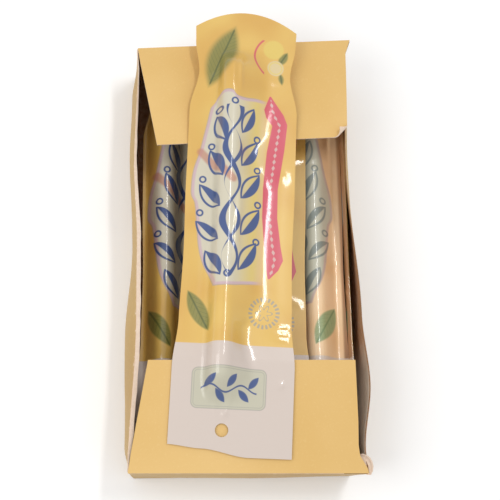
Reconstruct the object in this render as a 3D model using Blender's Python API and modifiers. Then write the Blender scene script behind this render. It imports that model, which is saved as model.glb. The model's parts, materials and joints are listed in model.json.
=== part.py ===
"""Open display carton of wrapped miswak sticks, lying on its back panel.

Metres, +Z up. The origin is the centre of the back panel's underside. +Y runs to the carton's far
end, which carries the upper flap, and +X runs to its right-hand wall.
"""

import math

import bmesh
import bpy
from mathutils import Vector

# Stock thicknesses, and the gap that touching pieces keep
CARD = 0.0006
FILM = 0.0003
GAP = 0.0003

# Carton base and height. The walls lean and bow, so the rim has corners of its own.
BASE_WIDTH = 0.109
BASE_LENGTH = 0.216
HEIGHT = 0.038
NEAR_LEFT_RIM = (-0.0564, -0.1077)
NEAR_RIGHT_RIM = (0.0554, -0.1090)
FAR_RIGHT_RIM = (0.0560, 0.1142)
FAR_LEFT_RIM = (-0.0553, 0.1052)

# How far each side wall stands outside the straight line between its corners, as (share of the
# way from the near end, offset): at the rim, and as a belly at half height
LEFT_RIM = ((0, 0), (0.31, -0.0025), (0.5, -0.0022), (0.72, 0.0001), (0.94, -0.0008), (1, 0))
LEFT_BELLY = ((0, 0), (0.06, 0.0030), (0.3, 0.0049), (0.54, 0.0018), (0.78, 0.0031), (0.9, 0.0029), (1, 0))
RIGHT_RIM = ((0, 0), (0.05, -0.0010), (0.19, 0.0027), (0.34, 0), (0.68, -0.0048), (0.96, -0.0031), (1, 0))
RIGHT_BELLY = ((0, 0), (0.25, 0.0022), (0.6, 0.0040), (1, 0))
END_RIM = ((0, 0), (1, 0))
END_BELLY = ((0, 0), (0.5, 0.0012), (1, 0))
SIDE_SEGMENTS = 18
END_SEGMENTS = 6
WALL_BANDS = 4

# Each flap's sides as (crease, shoulder, free corner), the share of its length at which the
# shoulders lie, and how far its free edge has sprung up
UPPER_LEFT = ((-0.0548, 0.1049), (-0.0534, 0.0960), (-0.0446, 0.0492))
UPPER_RIGHT = ((0.0558, 0.1140), (0.0529, 0.1057), (0.0505, 0.0561))
LOWER_LEFT = ((-0.0562, -0.1077), (-0.0549, -0.0985), (-0.0477, -0.0568))
LOWER_RIGHT = ((0.0552, -0.1088), (0.0532, -0.1005), (0.0499, -0.0566))
SHOULDER_SHARE = 0.16
FLAP_SHARES = (0, SHOULDER_SHARE / 2, SHOULDER_SHARE, 0.4, 0.6, 0.8, 1)
FLAP_COLUMNS = 8
UPPER_RISE = 0.0074
UPPER_CROWN = 0.0008
LOWER_RISE = 0.0057

# A wrapped stick is a flat sachet of film, widest at its plain tail and drawn in round the stick.
# Places along it are distances from the end of the tail, and places across it from its middle.
SACHET_LENGTH = 0.2228
HEAD_ARC_RISE = 0.0093
HEAD_ARC_START = 0.2058
HALF_WIDTHS = (
    (0, 0.0288),
    (0.040, 0.0287),
    (0.062, 0.0267),
    (0.095, 0.0261),
    (0.130, 0.0267),
    (0.168, 0.0268),
    (0.189, 0.0230),
    (0.206, 0.0254),
    (SACHET_LENGTH, 0.0257),
)
SEAL_WIDTH = 0.0015
HANG_HOLE_RADIUS = 0.0031
HANG_HOLE_ACROSS = -0.0042
HANG_HOLE_ALONG = 0.0119

# Miswak stick: a length of root, a little crooked and thinner at its head
STICK_RADIUS = 0.00475
STICK_FOOT = 0.037
STICK_HEAD = 0.189
STICK_RADIUS_SHARES = (0.93, 0.99, 1.0, 0.96, 0.98, 0.94, 0.95, 0.9, 0.91, 0.86)
STICK_CROOK = 0.0002

# Film over the stick: its clearance, and how far beyond the stick's ends the two films meet
FILM_CLEARANCE = 0.0005
END_RAMP = 0.014

# The sachets inside the carton have the last of their heads turned under at the far wall
TUCKED_HEAD = 0.0165

# The front sachet lies across both flaps. Its stick bridges them, and its tail bends down onto
# the lower flap from that flap's free edge.
FRONT_TAIL = (-0.0100, -0.1010)
FRONT_YAW = math.radians(-2.75)
FRONT_BODY_ROWS = 20
FRONT_BEND_ALONG = STICK_FOOT + (STICK_HEAD - STICK_FOOT) / FRONT_BODY_ROWS
FRONT_BEND_HEIGHT = 0.0451
FRONT_SLOPE = 0.0175
FRONT_TAIL_SLOPE = 0.111

# The front sachet's tail is cut askew: how far each place across its end lies up the sachet
FRONT_TAIL_END = ((-0.029, 0.0048), (-0.0135, 0.0034), (0.009, 0), (0.029, 0))
PLAIN_TAIL = STICK_FOOT - END_RAMP

# Where the lower right sachet leaves the back panel and stands up along the right wall
CURL_START_X = 0.0436
CURL_RADIUS = 0.009


def clear_scene():
    for obj in list(bpy.data.objects):
        bpy.data.objects.remove(obj, do_unlink=True)


def new_collection(name):
    collection = bpy.data.collections.new(name)
    bpy.context.scene.collection.children.link(collection)
    return collection


def new_material(name, colour, roughness):
    material = bpy.data.materials.new(name)
    material.use_nodes = True
    shader = material.node_tree.nodes["Principled BSDF"]
    shader.inputs["Base Color"].default_value = (*colour, 1)
    shader.inputs["Roughness"].default_value = roughness
    return material


def ease(share):
    return share * share * (3 - 2 * share)


def eased(points, at):
    """The value at a place, from (place, value) points, easing in and out of each."""
    for (start, first), (end, last) in zip(points, points[1:]):
        if at <= end:
            return first + (last - first) * ease(max(0.0, (at - start) / (end - start)))
    return points[-1][1]


def between(first, last, share):
    return Vector(first).lerp(Vector(last), share)


def add_shell(name, mesh, material, thickness, collection):
    """An object of an open surface, thickened along its normals, or against them if negative."""
    mesh.materials.append(material)
    obj = bpy.data.objects.new(name, mesh)
    collection.objects.link(obj)
    shell = obj.modifiers.new("Thickness", "SOLIDIFY")
    shell.thickness = abs(thickness)
    shell.offset = math.copysign(1, thickness)
    shell.use_even_offset = True
    return obj


def lofted(name, rows):
    """Quads through rows of points, facing up where the rows follow +Y and their points +X."""
    build = bmesh.new()
    grid = [[build.verts.new(point) for point in row] for row in rows]
    for lower, upper in zip(grid, grid[1:]):
        for j in range(len(lower) - 1):
            face = build.faces.new((lower[j], lower[j + 1], upper[j + 1], upper[j]))
            face.smooth = True
    mesh = bpy.data.meshes.new(name)
    build.to_mesh(mesh)
    build.free()
    return mesh


def from_far_end(points):
    """The same bows, told from the far end."""
    return tuple((1 - share, offset) for share, offset in reversed(points))


def carton_walls():
    """Each wall in order round the base: (start corner, end corner, outward, rim, belly, segments)."""
    x, y = BASE_WIDTH / 2, BASE_LENGTH / 2
    near_left = ((-x, -y), NEAR_LEFT_RIM)
    near_right = ((x, -y), NEAR_RIGHT_RIM)
    far_right = ((x, y), FAR_RIGHT_RIM)
    far_left = ((-x, y), FAR_LEFT_RIM)
    return (
        (near_left, near_right, (0, -1), END_RIM, END_BELLY, END_SEGMENTS),
        (near_right, far_right, (1, 0), RIGHT_RIM, RIGHT_BELLY, SIDE_SEGMENTS),
        (far_right, far_left, (0, 1), END_RIM, END_BELLY, END_SEGMENTS),
        (far_left, near_left, (-1, 0), from_far_end(LEFT_RIM), from_far_end(LEFT_BELLY), SIDE_SEGMENTS),
    )


def wall_point(wall, share, level):
    """A point of a wall's outer face, a share of the way along it. Level is 0 at the base, 1 at the rim."""
    (base_start, rim_start), (base_end, rim_end), outward, rim, belly, _ = wall
    start = between(base_start, rim_start, level)
    end = between(base_end, rim_end, level)
    bow = eased(rim, share) * level + eased(belly, share) * math.sin(math.pi * level)
    flat = start.lerp(end, share) + Vector(outward) * bow
    return (flat.x, flat.y, HEIGHT * level)


def make_carton_tray(material, collection):
    """Back panel and four walls: rings of points round the carton, from the base up to the rim."""
    build = bmesh.new()
    rings = []
    for band in range(WALL_BANDS + 1):
        ring = []
        for wall in carton_walls():
            segments = wall[-1]
            for i in range(segments):
                ring.append(build.verts.new(wall_point(wall, i / segments, band / WALL_BANDS)))
        rings.append(ring)
    build.faces.new(tuple(reversed(rings[0])))
    count = len(rings[0])
    for lower, upper in zip(rings, rings[1:]):
        for i in range(count):
            after = (i + 1) % count
            build.faces.new((lower[i], lower[after], upper[after], upper[i]))
    mesh = bpy.data.meshes.new("carton_tray")
    build.to_mesh(mesh)
    build.free()
    add_shell("carton_tray", mesh, material, -CARD, collection)


def flap_side(corners, share):
    """A point of a flap's side, from its crease by way of its shoulder to its free corner."""
    crease, shoulder, free = corners
    if share <= SHOULDER_SHARE:
        return between(crease, shoulder, share / SHOULDER_SHARE)
    return between(shoulder, free, (share - SHOULDER_SHARE) / (1 - SHOULDER_SHARE))


def make_flap(name, left, right, rise, crown, material, collection):
    """A flap from its crease, just over the end wall's rim, to its free edge."""
    rows = []
    for share in FLAP_SHARES:
        start, end = flap_side(left, share), flap_side(right, share)
        height = HEIGHT + GAP + rise * share + crown * math.sin(math.pi * share)
        row = [start.lerp(end, column / FLAP_COLUMNS) for column in range(FLAP_COLUMNS + 1)]
        rows.append([(point.x, point.y, height) for point in row])
    if rows[0][0][1] > rows[-1][0][1]:
        rows.reverse()
    add_shell(name, lofted(name, rows), material, CARD, collection)


def film_over_stick(left_skirt, right_skirt):
    """The taut film's section as (across from the stick, height), from the seal on the left to the
    seal on the right: straight up to the stick, round it and straight down."""
    centre = STICK_RADIUS
    radius = STICK_RADIUS + FILM_CLEARANCE
    left, right = (
        math.atan2(centre, skirt) + math.asin(radius / math.hypot(skirt, centre))
        for skirt in (left_skirt, right_skirt)
    )
    turns = (-left, -left * 2 / 3, -left / 3, 0, right / 2, right)
    over = [(radius * math.sin(turn), centre + radius * math.cos(turn)) for turn in turns]
    halfway = ((over[-1][0] + right_skirt) / 2, over[-1][1] / 2)
    return [(-left_skirt, 0), *over, halfway, (right_skirt, 0)]


class Sachet:
    """A wrapped stick that lies flat in the carton, with its film drawn over its stick."""

    end = SACHET_LENGTH - TUCKED_HEAD
    body_rows = 9

    def __init__(self, name, head, stick, skirts, yaw=0.0, roll=0.0):
        """A sachet by the x, y and height of its head's middle, the place of its stick across it,
        and how far to the left and right of the stick its films part."""
        x, y, height = head
        self.name = name
        self.tail = Vector((x, y - self.end))
        self.height = height
        self.stick = stick
        self.skirts = skirts
        self.yaw = yaw
        self.roll = roll

    def underside(self, across, along):
        """The film's underside in the sachet's own section: (sideways, up, how it leans)."""
        return across * math.cos(self.roll), self.height + across * math.sin(self.roll), self.roll

    def place(self, across, along, lift):
        """A point in the carton: across the sachet, along it, and above its film's underside."""
        sideways, up, lean = self.underside(across, along)
        sideways -= lift * math.sin(lean)
        x = self.tail.x + sideways * math.cos(self.yaw) - along * math.sin(self.yaw)
        y = self.tail.y + sideways * math.sin(self.yaw) + along * math.cos(self.yaw)
        return (x, y, up + lift * math.cos(lean))

    def stations(self):
        """Places along the sachet at which its films have a row of points."""
        step = (STICK_HEAD - STICK_FOOT) / self.body_rows
        foot = [0, PLAIN_TAIL, STICK_FOOT - END_RAMP / 2]
        body = [STICK_FOOT + step * i for i in range(self.body_rows + 1)]
        head = [STICK_HEAD + END_RAMP / 2, STICK_HEAD + END_RAMP, self.end]
        return foot + body + head

    def right_edge(self, width):
        """Places across the right of the sachet, as far as its edge."""
        return [width]

    def tail_end(self, across):
        """How far up the sachet its tail is cut, at a place across it."""
        return 0.0

    def film_row(self, along, section, base):
        """One row of a film: its (across, height) section at that station, on a base height. Near
        the head each point lies back a little, along the arc of the sachet's end, and near the tail
        it lies up a little, along the line of the cut."""
        width = eased(HALF_WIDTHS, along)
        row = []
        for across, height in [(-width, 0), *section, *((edge, 0) for edge in self.right_edge(width))]:
            back = HEAD_ARC_RISE * (across / width) ** 2
            back *= max(0, along - HEAD_ARC_START) / (SACHET_LENGTH - HEAD_ARC_START)
            cut = self.tail_end(across) * max(0, 1 - along / PLAIN_TAIL)
            row.append(self.place(across, along - back + cut, base + height))
        return row

    def face_section(self, along):
        """The upper film over the stick, sinking to the seal beyond the stick's ends."""
        room = eased(HALF_WIDTHS, along) - SEAL_WIDTH
        left_skirt = min(self.skirts[0], room + self.stick)
        right_skirt = min(self.skirts[1], room - self.stick)
        past = max(STICK_FOOT - along, along - STICK_HEAD, 0) / END_RAMP
        fullness = 1 - ease(min(1, past))
        return [(self.stick + x, z * fullness) for x, z in film_over_stick(left_skirt, right_skirt)]

    def make_films(self, names, material_names, collection):
        """The upper film, which goes over the stick, and the flat lower one."""
        upper_rows = [self.film_row(s, self.face_section(s), FILM + GAP) for s in self.stations()]
        lower_rows = [self.film_row(s, [(self.stick, 0)], 0) for s in self.stations()]
        films = []
        for name, rows, material in zip(names, (upper_rows, lower_rows), material_names):
            films.append(add_shell(name, lofted(name, rows), material, FILM, collection))
        return films

    def make_stick(self, material, collection):
        """The stick, as a tube whose radius varies along a slightly crooked line."""
        curve = bpy.data.curves.new(f"{self.name}_stick", "CURVE")
        curve.dimensions = "3D"
        curve.bevel_depth = STICK_RADIUS
        curve.bevel_resolution = 3
        curve.use_fill_caps = True
        spline = curve.splines.new("POLY")
        last = len(STICK_RADIUS_SHARES) - 1
        spline.points.add(last)
        for i, share in enumerate(STICK_RADIUS_SHARES):
            along = STICK_FOOT + (STICK_HEAD - STICK_FOOT) * i / last
            crook = STICK_CROOK * math.sin(2 * math.pi * i / last)
            lift = FILM + GAP + STICK_RADIUS * share
            spline.points[i].co = (*self.stick_point(along, crook, lift), 1)
            spline.points[i].radius = share
        curve.materials.append(material)
        collection.objects.link(bpy.data.objects.new(curve.name, curve))

    def stick_point(self, along, crook, lift):
        return self.place(self.stick + crook, along, lift)


class FrontSachet(Sachet):
    """The sachet that lies across both flaps, whole to the end of its head."""

    end = SACHET_LENGTH
    body_rows = FRONT_BODY_ROWS

    def __init__(self, name, stick, skirts):
        super().__init__(name, (0, 0, FRONT_BEND_HEIGHT), stick, skirts, yaw=FRONT_YAW)
        self.tail = Vector(FRONT_TAIL)

    def underside(self, across, along):
        past = along - FRONT_BEND_ALONG
        slope = FRONT_SLOPE if past > 0 else FRONT_TAIL_SLOPE
        return across, self.height + past * slope, 0.0

    def stations(self):
        """More rows than usual, for the long plain tail and the arc of the head."""
        more = (STICK_FOOT / 5, STICK_FOOT * 2 / 5, SACHET_LENGTH - HEAD_ARC_RISE / 2)
        return sorted([*super().stations(), *more])

    def tail_end(self, across):
        return eased(FRONT_TAIL_END, across)

    def stick_point(self, along, crook, lift):
        """The stick stays straight where the film bends down to the tail."""
        x, y, _ = self.place(self.stick + crook, along, lift)
        return (x, y, self.height + FRONT_SLOPE * (along - FRONT_BEND_ALONG) + lift)


class CurledSachet(Sachet):
    """A sachet whose right side stands up along the carton's wall."""

    curl_columns = 6

    def underside(self, across, along):
        past = max(0.0, across - (CURL_START_X - self.tail.x))
        turn = min(past / CURL_RADIUS, math.pi / 2)
        rise = max(0.0, past - CURL_RADIUS * math.pi / 2)
        sideways = min(across, CURL_START_X - self.tail.x) + CURL_RADIUS * math.sin(turn)
        return sideways, self.height + CURL_RADIUS * (1 - math.cos(turn)) + rise, turn

    def right_edge(self, width):
        start = CURL_START_X - self.tail.x
        quarter = CURL_RADIUS * math.pi / 2
        turned = [start + quarter * i / (self.curl_columns - 2) for i in range(self.curl_columns - 1)]
        return [*turned, width]


def cut_hang_hole(sachet, films, collection):
    """A round hole for a display peg, through both films of the tail."""
    centre = sachet.place(HANG_HOLE_ACROSS, HANG_HOLE_ALONG, 0)
    bpy.ops.mesh.primitive_cylinder_add(
        vertices=16, radius=HANG_HOLE_RADIUS, depth=2 * HANG_HOLE_RADIUS, location=centre
    )
    cutter = bpy.context.object
    cutter.name = "hang_hole_cutter"
    for other in list(cutter.users_collection):
        other.objects.unlink(cutter)
    collection.objects.link(cutter)
    cutter.hide_render = True
    cutter.display_type = "WIRE"
    for film in films:
        cut = film.modifiers.new("Hang hole", "BOOLEAN")
        cut.operation = "DIFFERENCE"
        cut.solver = "EXACT"
        cut.object = cutter


def main():
    clear_scene()
    parts = new_collection("display_carton_of_miswak_sticks")
    cutters = new_collection("cutters")
    card = new_material("printed_card", (0.84, 0.55, 0.21), 0.45)
    face = new_material("printed_film", (0.86, 0.50, 0.14), 0.2)
    back = new_material("film_back", (0.74, 0.47, 0.26), 0.25)
    wood = new_material("root_wood", (0.42, 0.29, 0.17), 0.8)

    make_carton_tray(card, parts)
    make_flap("upper_flap", UPPER_LEFT, UPPER_RIGHT, UPPER_RISE, UPPER_CROWN, card, parts)
    make_flap("lower_flap", LOWER_LEFT, LOWER_RIGHT, LOWER_RISE, 0, card, parts)

    floor = CARD + GAP
    front = FrontSachet("front", stick=-0.0062, skirts=(0.0065, 0.022))
    face_up = (
        front,
        Sachet("top", (0.0010, 0.1040, 0.0290), stick=-0.004, skirts=(0.012, 0.016), yaw=math.radians(-1.5)),
        Sachet("middle", (-0.0014, 0.1035, 0.0178), stick=0.002, skirts=(0.014, 0.014)),
        Sachet("left", (-0.0246, 0.1025, 0.0131), stick=-0.0154, skirts=(0.009, 0.009), roll=math.radians(-3)),
        Sachet("lower_left", (-0.0245, 0.1030, floor), stick=-0.0055, skirts=(0.012, 0.014)),
    )
    face_down = (
        Sachet("right", (0.0228, 0.1035, 0.0163), stick=0.0137, skirts=(0.0085, 0.010), roll=math.radians(6)),
        CurledSachet("lower_right", (0.0506, 0.1030, floor), stick=-0.0176, skirts=(0.0065, 0.010)),
    )
    for sachets, sides, materials in (
        (face_up, ("face", "back"), (face, back)),
        (face_down, ("back", "face"), (back, face)),
    ):
        for sachet in sachets:
            names = [f"{sachet.name}_sachet_{side}" for side in sides]
            films = sachet.make_films(names, materials, parts)
            sachet.make_stick(wood, parts)
            if sachet is front:
                cut_hang_hole(front, films, cutters)


main()
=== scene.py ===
"""Looks of the open display carton of wrapped miswak sticks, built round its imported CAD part.

Metres, in the CAD's frame: +Y runs to the carton's far end, +X to its right-hand wall, +Z up.
The placing constants and functions repeat part.py's, so that each piece stays where its node is.
"""

import json
import math
from typing import NamedTuple

import bpy
import numpy as np
from mathutils import Matrix, Vector, noise

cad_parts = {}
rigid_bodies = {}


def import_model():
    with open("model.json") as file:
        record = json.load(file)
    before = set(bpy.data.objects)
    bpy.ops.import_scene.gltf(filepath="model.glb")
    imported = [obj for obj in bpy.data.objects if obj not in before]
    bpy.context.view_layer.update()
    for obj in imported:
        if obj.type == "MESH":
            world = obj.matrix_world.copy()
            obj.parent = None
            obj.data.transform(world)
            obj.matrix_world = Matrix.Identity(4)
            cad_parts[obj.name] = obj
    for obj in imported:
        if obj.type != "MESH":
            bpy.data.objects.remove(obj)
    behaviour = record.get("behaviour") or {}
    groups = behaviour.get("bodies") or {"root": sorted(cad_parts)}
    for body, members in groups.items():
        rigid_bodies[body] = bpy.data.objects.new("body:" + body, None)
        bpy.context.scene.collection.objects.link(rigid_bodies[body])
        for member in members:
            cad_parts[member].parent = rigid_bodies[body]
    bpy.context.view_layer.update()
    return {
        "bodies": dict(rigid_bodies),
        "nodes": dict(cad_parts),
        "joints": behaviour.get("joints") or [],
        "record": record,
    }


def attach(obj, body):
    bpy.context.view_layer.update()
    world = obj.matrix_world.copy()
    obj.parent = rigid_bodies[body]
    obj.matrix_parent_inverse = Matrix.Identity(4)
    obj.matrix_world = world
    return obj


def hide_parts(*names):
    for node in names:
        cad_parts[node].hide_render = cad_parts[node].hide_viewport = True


MM = 0.001

# Stock thicknesses and the gap between touching pieces, as in the CAD
CARD = 0.0006
FILM = 0.0003
GAP = 0.0003

# Carton
BASE_WIDTH = 0.109
BASE_LENGTH = 0.216
HEIGHT = 0.038
NEAR_LEFT_RIM = (-0.0564, -0.1077)
NEAR_RIGHT_RIM = (0.0554, -0.1090)
FAR_RIGHT_RIM = (0.0560, 0.1142)
FAR_LEFT_RIM = (-0.0553, 0.1052)
LEFT_RIM = ((0, 0), (0.31, -0.0025), (0.5, -0.0022), (0.72, 0.0001), (0.94, -0.0008), (1, 0))
LEFT_BELLY = ((0, 0), (0.06, 0.0030), (0.3, 0.0049), (0.54, 0.0018), (0.78, 0.0031), (0.9, 0.0029), (1, 0))
RIGHT_RIM = ((0, 0), (0.05, -0.0010), (0.19, 0.0027), (0.34, 0), (0.68, -0.0048), (0.96, -0.0031), (1, 0))
# Less of a belly than the solid's, so that the wall's inner side is what shows beside its rim
RIGHT_BELLY = ((0, 0), (0.25, 0.0014), (0.6, 0.0030), (0.8, 0.0028), (1, 0))
END_RIM = ((0, 0), (1, 0))
END_BELLY = ((0, 0), (0.5, 0.0012), (1, 0))
UPPER_LEFT = ((-0.0548, 0.1049), (-0.0534, 0.0960), (-0.0446, 0.0492))
UPPER_RIGHT = ((0.0558, 0.1140), (0.0529, 0.1057), (0.0505, 0.0561))
LOWER_LEFT = ((-0.0562, -0.1077), (-0.0549, -0.0985), (-0.0477, -0.0568))
# Drawn in by 2 mm beside the curled corner, where the solid's side runs straight
LOWER_RIGHT = (
    (0.0552, -0.1088), (0.0548, -0.1066), (0.0530, -0.1036), (0.0512, -0.1008), (0.0506, -0.0960),
    (0.0507, -0.0850), (0.0499, -0.0566),
)
UPPER_RISE = 0.0074
UPPER_CROWN = 0.0008
LOWER_RISE = 0.0057
FLAP_ROWS = 60
FLAP_COLUMNS = 96
END_SEGMENTS = 40
SIDE_SEGMENTS = 90
WALL_LEVELS = 16
CREASE_RADIUS = 0.0007
DENT = 0.00035
DENTS_PER_METRE = 45
FLAP_WAVE = 0.0003

# The upper flap's rolled corner, as (a point on the roll's line, the way off the flap, radius)
CORNER_ROLL = ((0.0464, 0.0597), (0.75, -0.66), 0.0016)

# The bare lip along the left wall's rim, which widens towards the near end
LIP_SEGMENTS = 140
LIP_STEPS = 4
LIP_WIDTH = 0.0005
LIP_GROWTH = 0.0013

# The torn tab at the near right corner, as (y, x) of its outer side, and how far round it curls
CURL_OUTLINE = (
    (-0.1094, 0.0558), (-0.1078, 0.0568), (-0.1055, 0.0572), (-0.1035, 0.0568), (-0.1017, 0.0559),
    (-0.1006, 0.0542), (-0.1000, 0.0524),
)
CURL_TURN = 2.1
CURL_RISE = 0.0013

# Where the bare board begins to be brown, and is brown all over, along the carton: painted shade and
# painted yellow light bounced from the sachets
BOARD_SHADE_START = -0.068
BOARD_SHADE_FULL = -0.040
# Cut edges are painted brown as shade to the right of this, which is on the right wall alone
SHADED_EDGE_X = 0.045
# The same places across the carton for film, which is painted brown there: shade beside the wall, and the
# wall's brown reflected in it
FILM_SHADE_START = 0.0492
FILM_SHADE_FULL = 0.0508

# Sachets and sticks
SACHET_LENGTH = 0.2228
HEAD_ARC_RISE = 0.0093
HEAD_ARC_START = 0.2058
HALF_WIDTHS = (
    (0, 0.0288), (0.040, 0.0287), (0.062, 0.0267), (0.095, 0.0261), (0.130, 0.0267), (0.168, 0.0268),
    (0.189, 0.0230), (0.206, 0.0254), (SACHET_LENGTH, 0.0257),
)
SEAL_WIDTH = 0.0015
HANG_HOLE_RADIUS = 0.0031
HANG_HOLE_SIDES = 48
HANG_HOLE_DEPTH = 0.004
HANG_HOLE_ACROSS = -0.0042
HANG_HOLE_ALONG = 0.0119
STICK_RADIUS = 0.00475
STICK_FOOT = 0.037
STICK_HEAD = 0.189
FILM_CLEARANCE = 0.0005
END_RAMP = 0.014
TUCKED_HEAD = 0.0165
FRONT_TAIL = (-0.0100, -0.1010)
FRONT_YAW = math.radians(-2.75)
FRONT_BEND_ALONG = 0.0446
FRONT_BEND_HEIGHT = 0.0451
FRONT_SLOPE = 0.0175
FRONT_TAIL_SLOPE = 0.111
FRONT_TAIL_END = ((-0.029, 0.0048), (-0.0135, 0.0034), (0.009, 0), (0.029, 0))
PLAIN_TAIL = STICK_FOOT - END_RAMP
CURL_START_X = 0.0436
CURL_RADIUS = 0.009

# Film as drawn: thinner than its CAD solid, and closed at its edges
SKIN = 0.00012
SEAL_LIFT = 0.00022
SEAL_REACH = 0.12
END_REACH = 0.006
PUCKERS = 14

# Where the front sachet's film comes down flat to the right of its stick, at places along it in
# millimetres, and how roundly it does so there and at the left, and near its edges
FRONT_TOE = (
    (0, 17), (40, 14), (47, 11.5), (53, 9.7), (59.4, 9.8), (65.4, 13.0), (74.3, 16.0), (83.5, 15.4),
    (99.7, 15.2), (109, 15.8), (121, 16.6), (126, 17.0), (131.2, 15.4), (138, 12.2), (147, 10.2),
    (158, 14.0), (175, 17.0), (223, 17.0),
)
FRONT_TOE_ROUND = (
    (0, 3.0), (40, 2.5), (47, 2.0), (53, 1.5), (59.4, 1.5), (65.4, 2.2), (74.3, 3.0), (131.2, 3.0),
    (138, 2.4), (147, 1.5), (158, 3.0), (223, 3.0),
)
FRONT_LEFT_ROUND = 0.0012
FRONT_EDGE_REACH = 0.3

# Folds of the front sachet's film as (path of (across, along), height, half width)
FRONT_FOLDS = (
    (((-6.6, 178), (-6.6, 190), (-5.6, 204)), 0.7, 1.5),
    (((-2.2, 177), (-2.6, 189), (-1.8, 200)), 0.5, 1.1),
    (((-12.0, 194), (-17.5, 187), (-21.0, 186)), 0.5, 1.6),
    (((4.0, 193), (11.0, 187), (18.0, 185)), 0.12, 2.6),
    (((-0.4, 126), (-1.1, 112), (-1.7, 103), (-1.3, 90)), 1.25, 1.7),
    (((20.1, 134.8),), 0.235, 3.1),
    (((18.9, 62), (19.1, 54)), 0.34, 3.8),
    (((18.5, 60.6), (27.0, 61.0)), 0.16, 1.0),
    (((17.5, 57.2), (27.5, 57.0)), 0.16, 1.0),
    (((19.0, 54.2), (25.0, 54.4)), 0.14, 1.0),
    (((22.6, 33.2),), 0.42, 1.7),
    (((-3.4, 19.4),), 0.55, 1.9),
    (((-3.4, 19.4), (-1.0, 26), (0.5, 33)), 0.25, 1.4),
    (((-13.0, 37.0), (-9.0, 30.0), (-7.0, 18.0)), 0.3, 1.5),
    (((-20.0, 110), (-19.0, 80), (-20.5, 60)), 0.25, 2.2),
)

# The printed design, in the film's millimetres: outlines of the ivory panel and the coral band
PANEL_LEFT = (
    (76, -11), (82, -13), (90, -17), (98, -19.2), (108, -20.4), (119, -21.8), (126, -24), (148, -20.2),
    (160, -17.9), (170, -15.9), (174.4, -12.6), (177, -9),
)
PANEL_TOP = ((-14, 172), (-9.7, 176), (-6.5, 175.6), (-3, 172.8), (9, 174.4), (14, 174.4))
PANEL_FOOT = ((-14, 79), (-9, 77.4), (-5, 77.6), (3, 79.2), (9, 80.2), (14, 80.4))
BAND_LEFT = (
    (83, 14.7), (88, 13.7), (93, 13.4), (100, 12.3), (114, 10.9), (129, 10.9), (148, 12.3), (162, 14.6),
    (166, 11.4), (170, 10.2), (178, 13.0),
)
BAND_RIGHT = (
    (83, 14.9), (88, 19.6), (93, 21.8), (100, 20.4), (114, 18.4), (129, 18.3), (149, 21.0), (163, 22.2),
    (168, 20.2), (178, 13.2),
)
BAND_MIDDLE = 130.5
BAND_HALF_LENGTH = 47.0
BEAD_RATE = 1.9

# The panel's twig: two stems as (middle across, start along, half thickness), leaves as (across,
# along, angle, half length, half width), and berries
SPRIG_MIDDLE = 125.0
SPRIG_HALF_LENGTH = 43.0
SPRIG_SWING = 3.8
SPRIG_WAVE = 37.0
SPRIG_SWELL_RATE = 0.19
SPRIG_LEAF_LINE = 0.55
BERRY_RADIUS = 1.4
BERRY_LINE = 0.45
SPRIG_STEMS = ((-5.0, 82.0, 1.1), (-4.8, 100.5, 0.45))
SPRIG_LEAVES = (
    (-12.4, 89.0, 118, 7.2, 2.9),
    (3.8, 93.0, 60, 8.2, 3.2),
    (-15.8, 105.0, 136, 7.0, 2.9),
    (4.6, 110.0, 58, 8.2, 3.3),
    (-15.2, 122.5, 128, 7.6, 3.0),
    (4.2, 128.0, 58, 8.4, 3.2),
    (-12.6, 139.0, 112, 7.8, 2.9),
    (3.4, 145.0, 62, 8.0, 3.1),
    (-11.0, 156.5, 106, 7.2, 2.7),
    (2.0, 161.5, 68, 7.2, 2.7),
)
SPRIG_BERRIES = (
    (-5.6, 83.0), (8.2, 101.0), (-19.3, 114.5), (8.4, 119.5), (-18.6, 131.5), (7.8, 137.5),
    (-15.0, 148.5), (7.2, 153.5), (-5.0, 170.0), (-12.0, 166.5),
)

# Veined leaves as (across, along, angle, half length, half width, blur)
FACE_LEAVES = (
    (-17.9, 66.5, -61, 10.8, 4.0, 0.6),
    (-11.8, 197.5, 70, 17.5, 6.8, 2.2),
    (18.4, 187.5, 100, 3.2, 1.3, 0.6),
    (19.2, 198.6, 60, 4.4, 2.0, 0.6),
)
REVERSE_LEAF = (-17.9, 66.5, -61, 11.0, 4.6, 0.6)

# Circles as (across, along, radius), and the bare root shown on the panel
FRUIT = (14.2, 203.4, 5.2)
FRUIT_SLICE = (15.4, 193.2, 4.2)
ROSETTE = (13.3, 66.8, 7.8)
ROSETTE_DASHES = 22.0
ROSETTE_PETALS = 6.0
ARC = (16.6, 199.0, 12.0)
ARC_RIGHT_END = 9.5
ARC_MIDDLE = 198.0
ARC_HALF_LENGTH = 10.5
ROOT = (-12.4, 137.8, -45, 11.0, 1.9)

# The plain tail and its label
TAIL_LINE = 51.4
TAIL_BLUR = 0.5
LABEL_MIDDLE = (-1.8, 30.8)
LABEL_HALF_SIZE = (14.5, 6.4)
LABEL_ROUNDING = 2.8
LABEL_STEM_ALONG = 30.5
LABEL_STEM_HALF_LENGTH = 13.0
LABEL_LEAF_HALF_SIZE = (3.4, 1.3)
LABEL_LEAVES = (
    (-11.0, 33.8, 50), (-6.0, 27.4, -50), (-1.0, 34.0, 55), (5.0, 27.6, -45), (9.5, 33.6, 50),
)

# Viewpoint: the place, the turns about X, Y and Z in degrees, and the lens in millimetres
CAMERA_PLACE = (-0.050, -0.133, 0.500)
CAMERA_TURNS = (15.9, -6.1, 0.8)
CAMERA_LENS = 71.06

# Lights as (name, place, target, size, power)
LIGHTS = (
    ("key", (0.27, 0.22, 0.95), (0.27, 0.21, 0), (0.08, 0.36), 2.4),
    ("fill", (-0.45, -0.15, 0.6), (0, 0, 0), (0.4, 0.4), 1.6),
)
WORLD_STRENGTH = 0.76


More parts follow.
